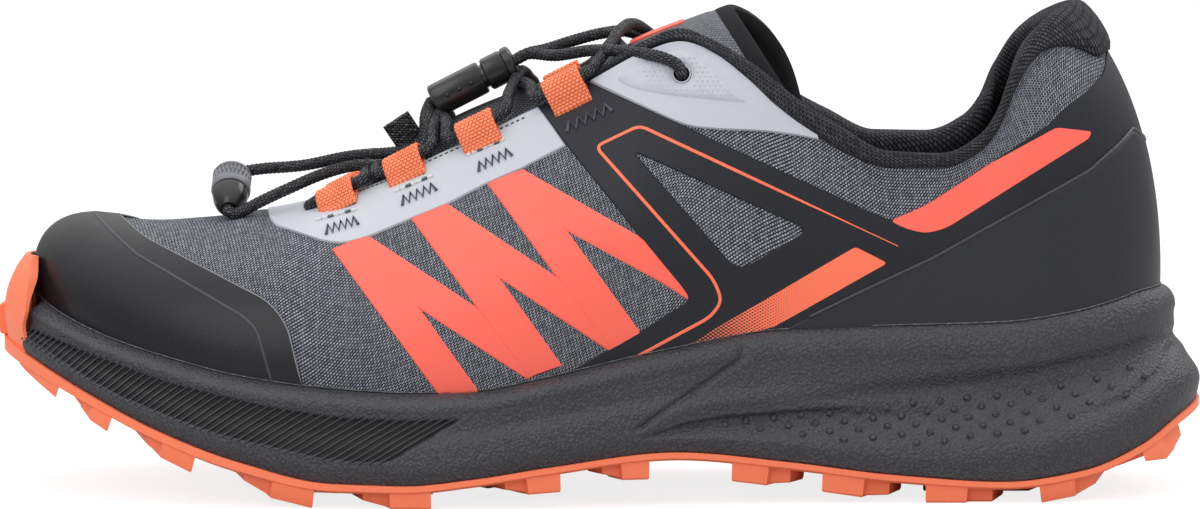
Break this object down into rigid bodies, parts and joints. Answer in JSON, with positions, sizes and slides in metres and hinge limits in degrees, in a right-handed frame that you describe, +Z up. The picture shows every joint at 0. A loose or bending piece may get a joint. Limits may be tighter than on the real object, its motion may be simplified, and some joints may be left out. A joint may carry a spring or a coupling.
{
  "type": "hiking shoe",
  "caption": "Low-cut trail hiking shoe for the left foot: cupped foam midsole, lugged rubber outsole with toe bumper, mesh upper, webbing lace loops and a cord lock.",
  "frame": {"origin": "middle of the shoe's length and width, on the ground under its lugs", "axes": "+X from toe to heel, +Y to the medial side, +Z up"},
  "size_m": [0.2998, 0.1086, 0.1206],
  "materials": {
    "outsole_rubber": "satin moulded rubber",
    "midsole_foam": "matte moulded foam",
    "lining_cloth": "woven lining",
    "upper_mesh": "ripstop mesh",
    "cap_rubber": "matte rubber film",
    "counter_film": "matte film",
    "webbing": "woven webbing",
    "lace_cord": "braided cord",
    "lock_plastic": "satin moulded plastic",
    "bead_plastic": "knurled plastic"
  },
  "bodies": {
    "root": {"outsole": "outsole_rubber", "midsole": "midsole_foam", "insole": "lining_cloth", "upper": "upper_mesh", "tongue": "upper_mesh", "toe_cap": "cap_rubber", "heel_counter": "counter_film", "loop_lateral_1": "webbing", "loop_lateral_2": "webbing", "loop_lateral_3": "webbing", "loop_lateral_4": "webbing", "loop_medial_1": "webbing", "loop_medial_2": "webbing", "loop_medial_3": "webbing", "loop_medial_4": "webbing", "lace_bar": "lace_cord", "lace_cross_1": "lace_cord", "lace_cross_2": "lace_cord", "lace_cross_3": "lace_cord", "lace_end_lateral": "lace_cord", "lace_end_medial": "lace_cord", "lace_tail_lateral": "lace_cord", "lace_tail_medial": "lace_cord", "lace_keeper": "lace_cord", "cord_lock": "lock_plastic", "bead_cone": "lock_plastic", "bead_sleeve": "bead_plastic"}
  },
  "joints": []
}
